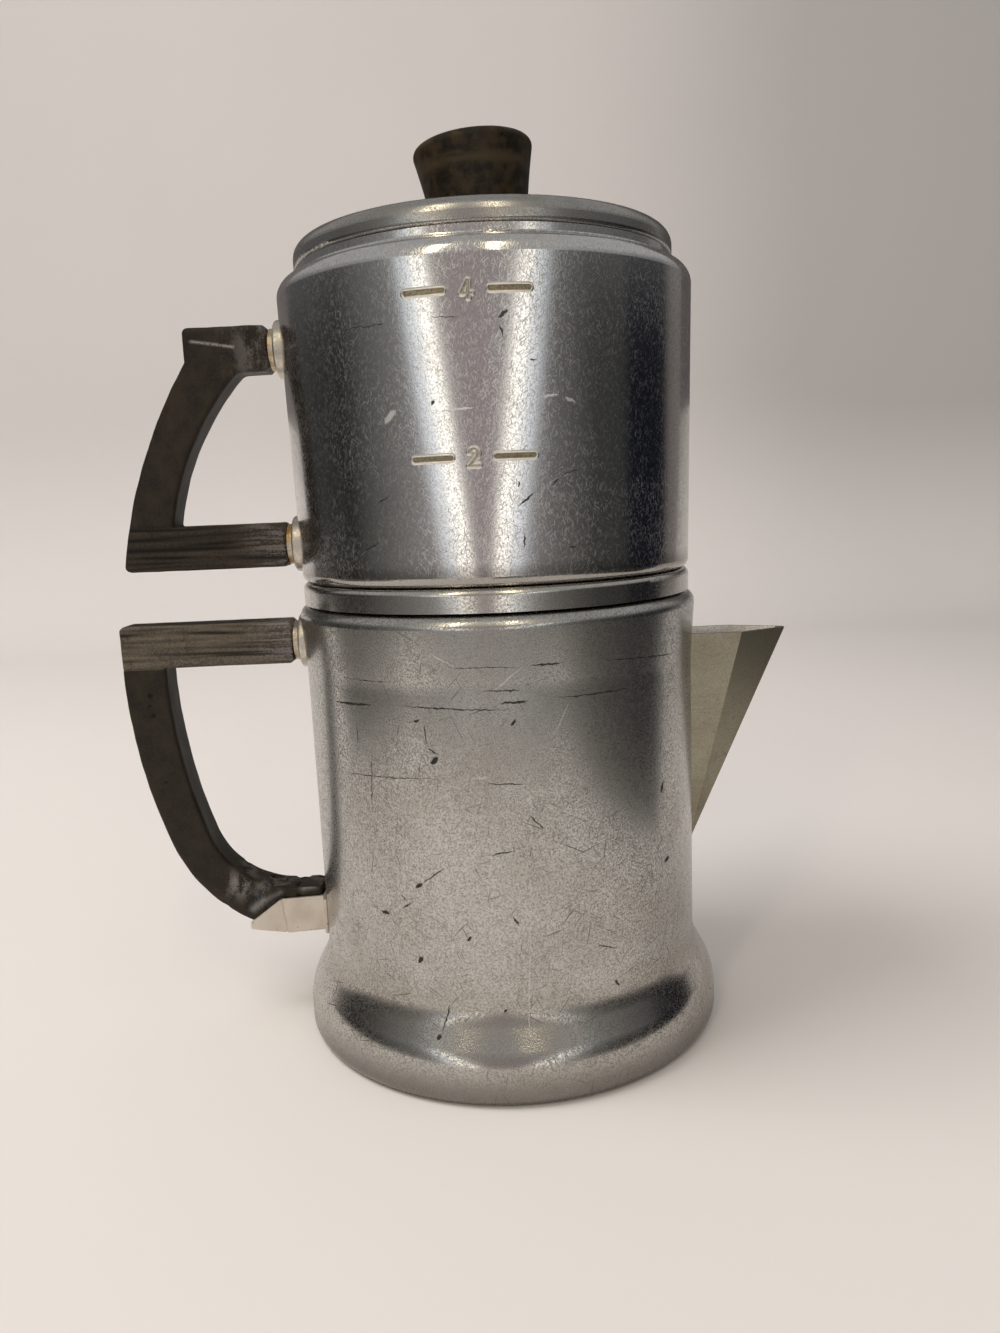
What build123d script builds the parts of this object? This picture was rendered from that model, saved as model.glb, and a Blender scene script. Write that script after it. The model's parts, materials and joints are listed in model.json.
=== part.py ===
from build123d import *
import os
from math import atan2, cos, floor, sin

# Drip coffee pot of drawn aluminium, in millimetres. +Z is up, the origin is on the table at the
# pot's axis, the spout points to +X and the handles to -X. Outlines of turned pieces are
# (radius, height) pairs, and side outlines of the handles are (x, z) pairs.

# Sheet thicknesses
server_sheet = 1.2
basket_sheet = 1.0
spreader_sheet = 0.8
reservoir_sheet = 1.1
lid_sheet = 0.8
spout_sheet = 0.9
shoe_sheet = 1.0

# Clearances
slip_clearance = 0.4
seat_clearance = 0.05
collar_gap = 0.4

# How far blanks and cutters run past the face where they are trimmed
overrun = 3.0

# Server: foot, wall, shoulder and neck
server_radius = 52.1
base_flare = 5.8
base_bend = 3.0
bulge_height = 6.0
bulge_pull = 9.0
flare_height = 25.0
flare_pull = 8.0
swell_drop = 17.2
swell_taper = 0.4
swell_bend = 40.0
rim_swell = 1.2
rim_bend = 3.0
server_height = 118.2
neck_step = 3.5
neck_bend = 0.8
server_neck = 5.0

# Spout: a folded V whose ridge runs down to the wall
spout_drop = 12.5
spout_length = 61.7
spout_reach = 27.2
spout_crease = 13.7
spout_half_width = 8.0
spout_tip_half_width = 1.0
pour_hole_radius = 0.9
pour_hole_drop = 9.0
pour_hole_pitch = 5.0
pour_hole_rows = 7
pour_hole_margin = 0.6

# First ring of a hole pattern; each further ring has as many holes more
ring_holes = 6

# Coffee basket: collar band, hanging cup, ledge and strainer floor
collar_inset = 0.1
collar_bend = 1.6
basket_depth = 43.2
ledge_depth = 19.2
ledge_width = 3.0
basket_bend = 2.0
strainer_hole_radius = 1.0
strainer_hole_pitch = 9.0
strainer_rings = 4

# Water spreader and its lifting knob
spreader_rim = 2.5
spreader_bend = 1.2
spreader_hole_radius = 1.5
spreader_hole_pitch = 12.0
spreader_rings = 3
lift_knob_radius = 6.0
lift_knob_height = 9.0
lift_stem_radius = 3.0
lift_head_height = 4.0
lift_round = 1.0
lift_tail_radius = 2.0
lift_rivet_height = 0.8

# Reservoir: plug, wall, shoulder and neck
plug_depth = 6.3
plug_bend = 2.0
reservoir_height = 76.0
reservoir_taper = 1.65
reservoir_low_bend = 2.5
reservoir_shoulder_bend = 4.4
reservoir_neck = 2.4
drip_hole_radius = 0.8
drip_hole_pitch = 14.0
drip_rings = 2

# Lid and its knob; the lean of the knob is in degrees
lid_overhang = 0.2
lid_skirt = 6.6
lid_edge_height = 5.9
lid_bend = 3.4
lid_step_bend = 0.5
lid_curl = 1.2
lid_rise = 4.3
lid_pad_radius = 14.0
lid_pad_bend = 60.0
knob_foot_radius = 11.75
knob_top_radius = 15.8
knob_height = 21.3
knob_lean = 4.2
knob_hollow = 0.4
knob_edge = 1.8
knob_crown = 0.6
knob_hole_depth = 12.0
knob_washer_radius = 7.0
knob_washer_thickness = 1.0

# Handle arms with their ferrules and screws
handle_thickness = 10.0
handle_edge = 1.2
arm_height = 11.9
arm_end_chamfer = 1.2
arm_corner = 1.5
handle_gap = 3.5
ferrule_flange_radius = 7.5
ferrule_flange_thickness = 2.0
ferrule_flange_round = 0.8
ferrule_collar_radius = 5.4
screw_radius = 1.8
screw_head_radius = 3.0
screw_head_height = 2.2
screw_head_round = 0.8
screw_slot_width = 0.9
screw_slot_depth = 1.1
screw_tip_round = 0.5
screw_tip_gap = 1.0
washer_margin = 0.4
washer_thickness = 0.8
counterbore_depth = 7.0

# Server handle: straight arm above, curved grip, heel held in a sheet shoe
server_arm_drop = 10.45
server_arm_reach = 51.4
server_grip_width = 12.0
grip_outer_lean = 9.0
grip_outer_rise = 23.3
grip_inner_bend = 24.0
heel_height = 12.5
heel_reach = 9.0

# Shoe under the heel
shoe_height = 25.0
shoe_reach = 21.9
shoe_fold_reach = 12.5
shoe_fold_sag = 0.8
shoe_tip_rise = 0.9
shoe_tip_height = 2.0
shoe_fold_height = 9.5
shoe_wall_height = 10.1
shoe_ear = 3.0

# Reservoir handle: two arms and a leaning grip
low_arm_rise = 10.0
high_arm_rise = 61.1
low_arm_reach = 48.3
high_arm_reach = 27.2
high_arm_heel = 2.8
lean_outer_bulge = 3.2
lean_inner_bulge = 3.4
lean_top_start = 13.4
lean_top_bend = 3.0
lean_foot_width = 14.6

# Radii and heights that follow from the sizes above
base_radius = server_radius + base_flare
rim_radius = server_radius + swell_taper + rim_swell
swell_height = server_height - swell_drop
neck_radius = server_radius - neck_step
server_mouth = neck_radius - server_sheet
neck_top = server_height + server_neck
collar_radius = server_radius - collar_inset
basket_radius = server_mouth - slip_clearance
basket_floor = neck_top - basket_depth
ledge_height = neck_top - ledge_depth
cup_radius = basket_radius - ledge_width
deck_height = neck_top + basket_sheet
spreader_height = ledge_height + basket_sheet
spreader_radius = basket_radius - basket_sheet - slip_clearance
plug_radius = basket_radius - basket_sheet - slip_clearance
reservoir_floor = deck_height - plug_depth
reservoir_radius = collar_radius
shoulder_radius = reservoir_radius + reservoir_taper
shoulder_height = deck_height + reservoir_height
lid_seat = shoulder_height + reservoir_neck
lid_skirt_radius = neck_radius - max(server_sheet, reservoir_sheet) - slip_clearance
lid_rim_radius = neck_radius + lid_overhang
lid_edge = lid_seat + lid_edge_height
lid_top = lid_edge + lid_rise
knob_top = lid_top + knob_height
spout_top = server_height - spout_drop
spout_foot = spout_top - spout_length
screw_bore = screw_radius + seat_clearance
washer_radius = screw_head_radius + washer_margin
counterbore_radius = washer_radius + slip_clearance


def turned(outline):
    """Solid made by turning a closed outline about the pot's axis."""
    return revolve(Plane.XZ * make_face(outline), Axis.Z)


def rod(radius, start, end):
    """Rod along +Z from a start to an end."""
    return Pos(0, 0, (start + end) / 2) * Cylinder(radius, end - start)


def beside(corners, bends, distance):
    """Corners and bends of the line that runs at a distance to the left of a bent line."""
    points = [Vector(corner) for corner in corners]
    lefts = [(after - before).normalized().rotate(Axis.Z, 90) for before, after in zip(points, points[1:])]
    moved = [points[0] + lefts[0] * distance]
    moved_bends = []
    for corner, bend, before, after in zip(points[1:], bends, lefts, lefts[1:]):
        moved.append(corner + (before + after) * (distance / (1 + before.dot(after))))
        turns_left = before.cross(after).Z > 0
        moved_bends.append(max(bend - distance, 0) if turns_left else bend + distance)
    moved.append(points[-1] + lefts[-1] * distance)
    return moved, moved_bends


def drawn_sheet(corners, bends, sheet):
    """Turned sheet of even thickness, to the left of a line with bent corners."""
    inner_corners, inner_bends = beside(corners, bends, sheet)
    outer = FilletPolyline(*corners, radius=bends)
    inner = FilletPolyline(*inner_corners, radius=inner_bends)
    ends = [Line(outer @ 0, inner @ 0), Line(outer @ 1, inner @ 1)]
    return turned(outer + inner + ends)


def drilled(plate, height, radius, pitch, rings, first_ring=0):
    """Plate with rings of holes about the pot's axis; ring 0 is the hole at the centre."""
    drill = rod(radius, height - overrun, height + overrun)
    for ring in range(first_ring, rings + 1):
        places = PolarLocations(ring * pitch, ring * ring_holes) if ring else [Location()]
        plate = plate - [place * drill for place in places]
    return plate


def server_form(inset):
    """Solid inside the server's skin, drawn in from it by a sheet thickness."""
    foot_radius = base_radius - inset
    wall_radius = server_radius - inset
    foot = FilletPolyline(
        (0, inset),
        (foot_radius, inset),
        (foot_radius, bulge_height),
        radius=[max(base_bend - inset, 0)],
    )
    flare = Bezier(
        (foot_radius, bulge_height),
        (foot_radius, bulge_height + bulge_pull),
        (wall_radius, flare_height - flare_pull),
        (wall_radius, flare_height),
    )
    wall = FilletPolyline(
        (wall_radius, flare_height),
        (wall_radius + swell_taper, swell_height),
        (rim_radius - inset, server_height - inset),
        (neck_radius - inset, server_height - inset),
        (neck_radius - inset, neck_top),
        radius=[swell_bend, max(rim_bend - inset, 0), neck_bend + inset],
    )
    closing = Polyline((neck_radius - inset, neck_top), (0, neck_top), (0, inset))
    return turned(foot + flare + wall + closing)


def spout_section(half_width, tip_half_width, crease, reach, back):
    """Plan of the spout: parallel sides to the crease, then a V to the narrow tip."""
    near = [(back, half_width), (crease, half_width), (reach, tip_half_width)]
    far = [(x, -y) for x, y in reversed(near)]
    return make_face(Polyline(*near, *far, close=True))


def make_server_shell():
    """Drawn pot with a bell foot, a rolled shoulder, a neck and a strainer behind the spout."""
    shell = server_form(0) - server_form(server_sheet)
    drill = rod(pour_hole_radius, server_radius - server_sheet - overrun, server_radius + overrun)
    spacing = 2 * (pour_hole_radius + pour_hole_margin)
    for row in range(pour_hole_rows):
        height = spout_top - pour_hole_drop - row * pour_hole_pitch
        half_width = spout_half_width * (height - spout_foot) / spout_length
        spread = max(0, half_width - spout_sheet - pour_hole_margin - pour_hole_radius)
        places = GridLocations(spacing, spacing, 1, 1 + floor(2 * spread / spacing))
        shell = shell - [Pos(0, 0, height) * Rotation(0, 90, 0) * place * drill for place in places]
    return shell


def make_spout():
    """Folded sheet spout: a hollow pyramid that stands on the wall and opens upwards."""
    wall = server_radius
    vee = atan2(spout_half_width - spout_tip_half_width, spout_reach - spout_crease)
    tip_back = spout_sheet / sin(vee)
    crease_back = spout_sheet * (1 - cos(vee)) / sin(vee)
    rise = spout_length * spout_sheet / spout_half_width
    back = wall - overrun
    outside = spout_section(
        spout_half_width, spout_tip_half_width, wall + spout_crease, wall + spout_reach, back
    )
    inside = spout_section(
        spout_half_width - spout_sheet,
        spout_tip_half_width,
        wall + spout_crease - crease_back,
        wall + spout_reach - tip_back,
        back,
    )
    foot_inside = (wall + spout_reach * spout_sheet / spout_half_width - tip_back, 0, spout_foot + rise)
    folded = loft([Pos(0, 0, spout_top) * outside, Vertex(wall, 0, spout_foot)])
    hollow = loft([Pos(0, 0, spout_top) * inside, Vertex(*foot_inside)])
    return folded - hollow - server_form(0)


def make_basket():
    """Strainer cup with a ledge for the spreader and a turned-down collar over the neck."""
    corners = [
        (0, basket_floor),
        (cup_radius, basket_floor),
        (cup_radius, ledge_height),
        (basket_radius, ledge_height),
        (basket_radius, neck_top),
        (collar_radius - basket_sheet, neck_top),
        (collar_radius - basket_sheet, server_height + collar_gap),
    ]
    bends = [basket_bend, neck_bend, collar_bend, slip_clearance / 2, max(collar_bend - basket_sheet, 0)]
    cup = drawn_sheet(corners, bends, basket_sheet)
    return drilled(cup, basket_floor, strainer_hole_radius, strainer_hole_pitch, strainer_rings)


def make_spreader_plate():
    """Perforated disc with an upturned rim, resting on the basket's ledge."""
    corners = [
        (lift_tail_radius + seat_clearance, spreader_height),
        (spreader_radius, spreader_height),
        (spreader_radius, spreader_height + spreader_sheet + spreader_rim),
    ]
    plate = drawn_sheet(corners, [spreader_bend], spreader_sheet)
    return drilled(plate, spreader_height, spreader_hole_radius, spreader_hole_pitch, spreader_rings, 1)


def make_spreader_knob():
    """Turned lifting knob, riveted over below the plate."""
    low = spreader_height
    seat = low + spreader_sheet
    top = seat + lift_knob_height
    outline = FilletPolyline(
        (0, low - lift_rivet_height),
        (lift_stem_radius, low - lift_rivet_height),
        (lift_stem_radius, low),
        (lift_tail_radius, low),
        (lift_tail_radius, seat),
        (lift_stem_radius, seat),
        (lift_stem_radius, top - lift_head_height),
        (lift_knob_radius, top - lift_head_height),
        (lift_knob_radius, top),
        (0, top),
        radius=[lift_rivet_height / 2, 0, 0, 0, 0, lift_round, lift_round, lift_round],
    )
    return turned(outline + Line(outline @ 1, outline @ 0))


reservoir_corners = [
    (0, reservoir_floor),
    (plug_radius, reservoir_floor),
    (plug_radius, deck_height),
    (reservoir_radius, deck_height),
    (shoulder_radius, shoulder_height),
    (neck_radius, shoulder_height),
    (neck_radius, lid_seat),
]
reservoir_bends = [plug_bend, neck_bend, reservoir_low_bend, reservoir_shoulder_bend, neck_bend]


def make_reservoir_shell():
    """Drawn water reservoir with a plug foot, drip holes, a round shoulder and a neck."""
    shell = drawn_sheet(reservoir_corners, reservoir_bends, reservoir_sheet)
    return drilled(shell, reservoir_floor, drip_hole_radius, drip_hole_pitch, drip_rings)


def reservoir_form():
    """Solid inside the reservoir's outer skin."""
    skin = FilletPolyline(*reservoir_corners, radius=reservoir_bends)
    return turned(skin + Polyline((neck_radius, lid_seat), (0, lid_seat), (0, reservoir_floor)))


def make_lid_shell():
    """Pressed lid: skirt inside the neck, edge curled in below, low cone and a flat pad for the knob."""
    corners = [
        (lid_skirt_radius, lid_seat - lid_skirt),
        (lid_skirt_radius, lid_seat),
        (lid_rim_radius, lid_seat),
        (lid_rim_radius, lid_edge),
        (lid_pad_radius, lid_top),
        (screw_bore, lid_top),
    ]
    return drawn_sheet(corners, [lid_step_bend, lid_curl, lid_bend, lid_pad_bend], lid_sheet)


def make_lid_knob():
    """Moulded knob: a hollow-sided cone that widens upwards, leans to the handles and is level below."""
    foot = lid_top - overrun
    rim = (knob_top_radius, knob_top - knob_crown)
    flank = SagittaArc((knob_foot_radius, foot), rim, knob_hollow)
    crown = TangentArc((0, knob_top), rim, tangent=(1, 0))
    blank = turned(flank + crown + Polyline((0, knob_top), (0, foot), (knob_foot_radius, foot)))
    top_edge = blank.edges().filter_by(lambda edge: edge.is_closed).sort_by(Axis.Z)[-1]
    pad = Pos(0, 0, lid_top)
    leaning = pad * Rotation(0, -knob_lean, 0) * pad.inverse() * fillet(top_edge, knob_edge)
    body = split(leaning, Plane.XY.offset(lid_top))
    return body - rod(screw_bore, lid_top, lid_top + knob_hole_depth)


def make_screw(head_seat, tip):
    """Slotted screw along +Z: the head starts at its seat and the shank ends at the tip."""
    head_top = head_seat + screw_head_height
    outline = FilletPolyline(
        (0, tip),
        (screw_radius, tip),
        (screw_radius, head_seat),
        (screw_head_radius, head_seat),
        (screw_head_radius, head_top),
        (0, head_top),
        radius=[screw_tip_round, 0, 0, screw_head_round],
    )
    slot = Box(2 * (screw_head_radius + overrun), screw_slot_width, 2 * screw_slot_depth)
    return turned(outline + Line(outline @ 1, outline @ 0)) - Pos(0, 0, head_top) * slot


def make_washer(low, radius, thickness):
    """Flat washer along +Z that fits over a screw."""
    return rod(radius, low, low + thickness) - rod(screw_bore, low, low + thickness)


def arm_fittings(height, wall, reach, body):
    """Ferrule, screw and washer of one handle arm, and the drilling that they need in the arm."""
    on_arm = Pos(0, 0, height) * Rotation(0, -90, 0)
    arm_start = wall + handle_gap
    flange = wall + ferrule_flange_thickness
    washer_seat = reach - counterbore_depth
    profile = FilletPolyline(
        (screw_bore, wall - overrun),
        (ferrule_flange_radius, wall - overrun),
        (ferrule_flange_radius, flange),
        (ferrule_collar_radius, flange),
        (ferrule_collar_radius, arm_start),
        (screw_bore, arm_start),
        radius=[0, ferrule_flange_round, 0, 0],
    )
    ferrule = on_arm * turned(profile + Line(profile @ 1, profile @ 0)) - body
    screw = on_arm * make_screw(washer_seat + washer_thickness, wall + screw_tip_gap)
    washer = on_arm * make_washer(washer_seat, washer_radius, washer_thickness)
    counterbore = rod(counterbore_radius, washer_seat, reach + overrun)
    drilling = on_arm * (rod(screw_bore, wall, reach) + counterbore)
    return ferrule, screw, washer, drilling


def arm_end(height, wall):
    """Corners of an arm's chamfered end, from its top edge to its under edge."""
    end = -(wall + handle_gap)
    half = arm_height / 2
    return [
        (end - arm_end_chamfer, height + half),
        (end, height + half - arm_end_chamfer),
        (end, height - half + arm_end_chamfer),
        (end - arm_end_chamfer, height - half),
    ]


def rounded(face, corner, radius):
    """Face with one of its corners rounded."""
    return fillet(face.vertices().sort_by_distance(corner)[0], radius)


def moulded(face):
    """Handle moulding: its side view at even thickness, with the long edges rounded over."""
    blank = extrude(Plane.XZ * face, handle_thickness / 2, both=True)
    return fillet(blank.faces().filter_by(Axis.Y).edges(), handle_edge)


def make_server_handle(arm, wall):
    """Handle with a straight arm above and a curved grip that runs down to the heel."""
    top = arm + arm_height / 2
    under = arm - arm_height / 2
    out = -(server_radius + server_arm_reach)
    inside = out + server_grip_width
    heel_top = shoe_height + heel_height
    heel_end = -(server_radius + shoe_sheet + seat_clearance)
    heel_start = (-(server_radius + heel_reach), heel_top)
    fold = (-(server_radius + shoe_fold_reach), shoe_height - shoe_fold_sag + shoe_sheet)
    tip = (-(server_radius + shoe_reach), shoe_height + shoe_tip_rise + shoe_tip_height)
    inner_span = heel_start[0] - inside
    inner_drop = under - heel_top - grip_inner_bend
    inner_bow = (inner_span**2 + inner_drop**2 - grip_inner_bend**2) / (2 * (inner_span - grip_inner_bend))
    inner_turn = atan2(inner_drop, inner_bow - inner_span)
    inner_knee = (inside + inner_bow * (1 - cos(inner_turn)), under - inner_bow * sin(inner_turn))
    outer_knee = (out + grip_outer_lean, tip[1] + grip_outer_rise)
    arm_edges = Polyline((out, under), (out, top), *arm_end(arm, wall), (inside, under))
    inner_upper = TangentArc((inside, under), inner_knee, tangent=(0, -1))
    inner_lower = TangentArc(heel_start, inner_knee, tangent=(-1, 0))
    heel = Polyline(heel_start, (heel_end, heel_top), (heel_end, shoe_height + shoe_sheet), fold, tip)
    outer_upper = TangentArc((out, under), outer_knee, tangent=(0, -1))
    outer_lower = TangentArc(outer_knee, tip, tangent=outer_upper % 1)
    outline = arm_edges + inner_upper + inner_lower + heel + outer_upper + outer_lower
    return moulded(rounded(make_face(outline), (out, top), arm_corner))


def make_shoe():
    """Sheet shoe that cradles the heel: floor, two tapering cheeks and a curved wall plate."""
    inside_half = handle_thickness / 2 + seat_clearance
    outside_half = inside_half + shoe_sheet
    wall = -server_radius
    back = wall - shoe_sheet
    fold = wall - shoe_fold_reach
    tip = wall - shoe_reach
    floor_fold = shoe_height - shoe_fold_sag
    floor_tip = shoe_height + shoe_tip_rise
    cheek = Polyline(
        (wall, shoe_height),
        (wall, shoe_height + shoe_wall_height),
        (fold, shoe_height + shoe_fold_height),
        (tip, floor_tip + shoe_tip_height),
        (tip, floor_tip),
        (fold, floor_fold),
        close=True,
    )
    channel = Polyline(
        (back, shoe_height + shoe_sheet),
        (back, shoe_height + shoe_wall_height + overrun),
        (tip - overrun, shoe_height + shoe_wall_height + overrun),
        (tip - overrun, floor_tip + shoe_sheet),
        (tip, floor_tip + shoe_sheet),
        (fold, floor_fold + shoe_sheet),
        close=True,
    )
    cradle = extrude(Plane.XZ * make_face(cheek), outside_half, both=True)
    cradle = cradle - extrude(Plane.XZ * make_face(channel), inside_half, both=True)
    plate = Pos(0, 0, shoe_height + shoe_wall_height / 2) * (
        Cylinder(server_radius + shoe_sheet, shoe_wall_height)
        & Pos(wall, 0, 0) * Box(2 * overrun, 2 * (outside_half + shoe_ear), shoe_wall_height)
    )
    return cradle + plate - server_form(0)


def make_reservoir_handle(low_arm, high_arm, low_wall, high_wall):
    """Handle with a short upper arm, a long lower arm and a leaning grip between them."""
    half = arm_height / 2
    high_out = -(reservoir_radius + high_arm_reach)
    low_out = -(reservoir_radius + low_arm_reach)
    lean_start = (-(reservoir_radius + lean_top_start), high_arm - half)
    lean_foot = (low_out + lean_foot_width, low_arm + half)
    shoulder = (high_out, high_arm - high_arm_heel)
    high_corner = (high_out, high_arm + half)
    low_corner = (low_out, low_arm - half)
    upper = Polyline(shoulder, high_corner, *arm_end(high_arm, high_wall), lean_start)
    inner = SagittaArc(lean_start, lean_foot, -lean_inner_bulge)
    lower = Polyline(lean_foot, *arm_end(low_arm, low_wall), low_corner)
    outer = SagittaArc(low_corner, shoulder, lean_outer_bulge)
    face = rounded(make_face(upper + inner + lower + outer), lean_start, lean_top_bend)
    for corner in (high_corner, low_corner):
        face = rounded(face, corner, arm_corner)
    return moulded(face)


server_arm = server_height - server_arm_drop
server_arm_wall = server_radius + swell_taper
low_arm = deck_height + low_arm_rise
high_arm = deck_height + high_arm_rise
low_arm_wall = reservoir_radius + reservoir_taper * low_arm_rise / reservoir_height
high_arm_wall = reservoir_radius + reservoir_taper * high_arm_rise / reservoir_height

server_fit = arm_fittings(server_arm, server_arm_wall, server_radius + server_arm_reach, server_form(0))
low_fit = arm_fittings(low_arm, low_arm_wall, reservoir_radius + low_arm_reach, reservoir_form())
high_fit = arm_fittings(high_arm, high_arm_wall, reservoir_radius + high_arm_reach, reservoir_form())

server_ferrule, server_screw, server_washer, server_drilling = server_fit
low_ferrule, low_screw, low_washer, low_drilling = low_fit
high_ferrule, high_screw, high_washer, high_drilling = high_fit

knob_washer_low = lid_top - lid_sheet - knob_washer_thickness
knob_screw = make_screw(-knob_washer_low, -(lid_top + knob_hole_depth) + screw_tip_gap)

nodes = {
    "server_shell": make_server_shell(),
    "server_spout": make_spout(),
    "server_handle": make_server_handle(server_arm, server_arm_wall) - server_drilling,
    "server_handle_ferrule": server_ferrule,
    "server_handle_screw": server_screw,
    "server_handle_washer": server_washer,
    "server_handle_shoe": make_shoe(),
    "coffee_basket": make_basket(),
    "spreader_plate": make_spreader_plate(),
    "spreader_knob": make_spreader_knob(),
    "reservoir_shell": make_reservoir_shell(),
    "reservoir_handle": make_reservoir_handle(low_arm, high_arm, low_arm_wall, high_arm_wall)
    - low_drilling
    - high_drilling,
    "reservoir_lower_ferrule": low_ferrule,
    "reservoir_lower_screw": low_screw,
    "reservoir_lower_washer": low_washer,
    "reservoir_upper_ferrule": high_ferrule,
    "reservoir_upper_screw": high_screw,
    "reservoir_upper_washer": high_washer,
    "lid_shell": make_lid_shell(),
    "lid_knob": make_lid_knob(),
    "lid_knob_screw": Rotation(180, 0, 0) * knob_screw,
    "lid_knob_washer": make_washer(knob_washer_low, knob_washer_radius, knob_washer_thickness),
}

os.makedirs("parts", exist_ok=True)
for name, shape in nodes.items():
    export_step(shape, f"parts/{name}.step")
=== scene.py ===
import json
from math import cos, pi, radians, sin

import bmesh
import bpy
import numpy as np
from mathutils import Matrix, Vector
from mathutils.bvhtree import BVHTree


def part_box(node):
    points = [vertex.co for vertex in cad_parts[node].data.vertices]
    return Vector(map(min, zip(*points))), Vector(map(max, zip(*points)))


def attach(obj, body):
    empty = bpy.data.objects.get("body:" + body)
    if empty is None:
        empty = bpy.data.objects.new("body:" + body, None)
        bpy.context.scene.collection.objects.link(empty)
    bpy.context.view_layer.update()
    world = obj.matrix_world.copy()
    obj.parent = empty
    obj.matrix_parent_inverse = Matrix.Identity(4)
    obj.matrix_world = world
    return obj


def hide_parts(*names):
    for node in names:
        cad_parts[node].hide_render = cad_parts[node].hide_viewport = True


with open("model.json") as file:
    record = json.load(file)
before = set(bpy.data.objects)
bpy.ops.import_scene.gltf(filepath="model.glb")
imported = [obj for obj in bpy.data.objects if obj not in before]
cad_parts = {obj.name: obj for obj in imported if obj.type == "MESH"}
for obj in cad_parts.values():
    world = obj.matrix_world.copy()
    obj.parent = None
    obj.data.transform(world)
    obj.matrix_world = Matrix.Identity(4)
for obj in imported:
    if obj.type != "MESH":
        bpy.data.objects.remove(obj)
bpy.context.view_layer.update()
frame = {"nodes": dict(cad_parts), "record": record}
nodes = frame["nodes"]

MM = 0.001
POT_RADIUS = 52.0
# Scale that takes a direction out of a distance
FLATTENED = 1e6
scene = bpy.context.scene


# Node wiring

class Wiring:
    """Short calls that add and join the nodes of one tree."""

    def __init__(self, tree):
        self.tree = tree
        tree.nodes.clear()

    def node(self, kind, **settings):
        made = self.tree.nodes.new(kind)
        for key, value in settings.items():
            setattr(made, key, value)
        return made

    def feed(self, socket, value):
        if isinstance(value, bpy.types.NodeSocket):
            self.tree.links.new(value, socket)
        else:
            socket.default_value = value

    def math(self, operation, *values):
        made = self.node("ShaderNodeMath", operation=operation)
        for socket, value in zip(made.inputs, values):
            self.feed(socket, value)
        return made.outputs[0]

    def add(self, *values):
        total = values[0]
        for value in values[1:]:
            total = self.math("ADD", total, value)
        return total

    def times(self, *values):
        product = values[0]
        for value in values[1:]:
            product = self.math("MULTIPLY", product, value)
        return product

    def most(self, values):
        """Greatest of some values, joined one by one because a shader holds only so many at a time."""
        found = 0.0
        for value in values:
            found = self.math("MAXIMUM", found, value)
        return found

    def split(self, vector):
        made = self.node("ShaderNodeSeparateXYZ")
        self.feed(made.inputs[0], vector)
        return made.outputs

    def span(self, value, low, high, to_low=0.0, to_high=1.0):
        """Smooth step of a value from low to high."""
        made = self.node("ShaderNodeMapRange", interpolation_type="SMOOTHSTEP")
        for name, number in zip(("From Min", "From Max", "To Min", "To Max"), (low, high, to_low, to_high)):
            made.inputs[name].default_value = number
        self.feed(made.inputs["Value"], value)
        return made.outputs[0]

    def near(self, value, middle, inner, outer, strength=1.0):
        """Strength within inner of the middle, fading to 0 at outer."""
        off = self.math("ABSOLUTE", self.math("SUBTRACT", value, middle))
        return self.span(off, inner, outer, strength, 0.0)

    def mix(self, share, first, second):
        made = self.node("ShaderNodeMix", data_type="RGBA")
        self.feed(made.inputs[0], share)
        for socket, colour in ((made.inputs[6], first), (made.inputs[7], second)):
            self.feed(socket, colour if isinstance(colour, bpy.types.NodeSocket) else (*colour, 1.0))
        return made.outputs[2]

    def glow(self, base, share, colour):
        """A base colour with a share of another added to it."""
        made = self.node("ShaderNodeMix", data_type="RGBA", blend_type="ADD")
        self.feed(made.inputs[0], share)
        self.feed(made.inputs[6], base)
        self.feed(made.inputs[7], (*colour, 1.0))
        return made.outputs[2]


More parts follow.
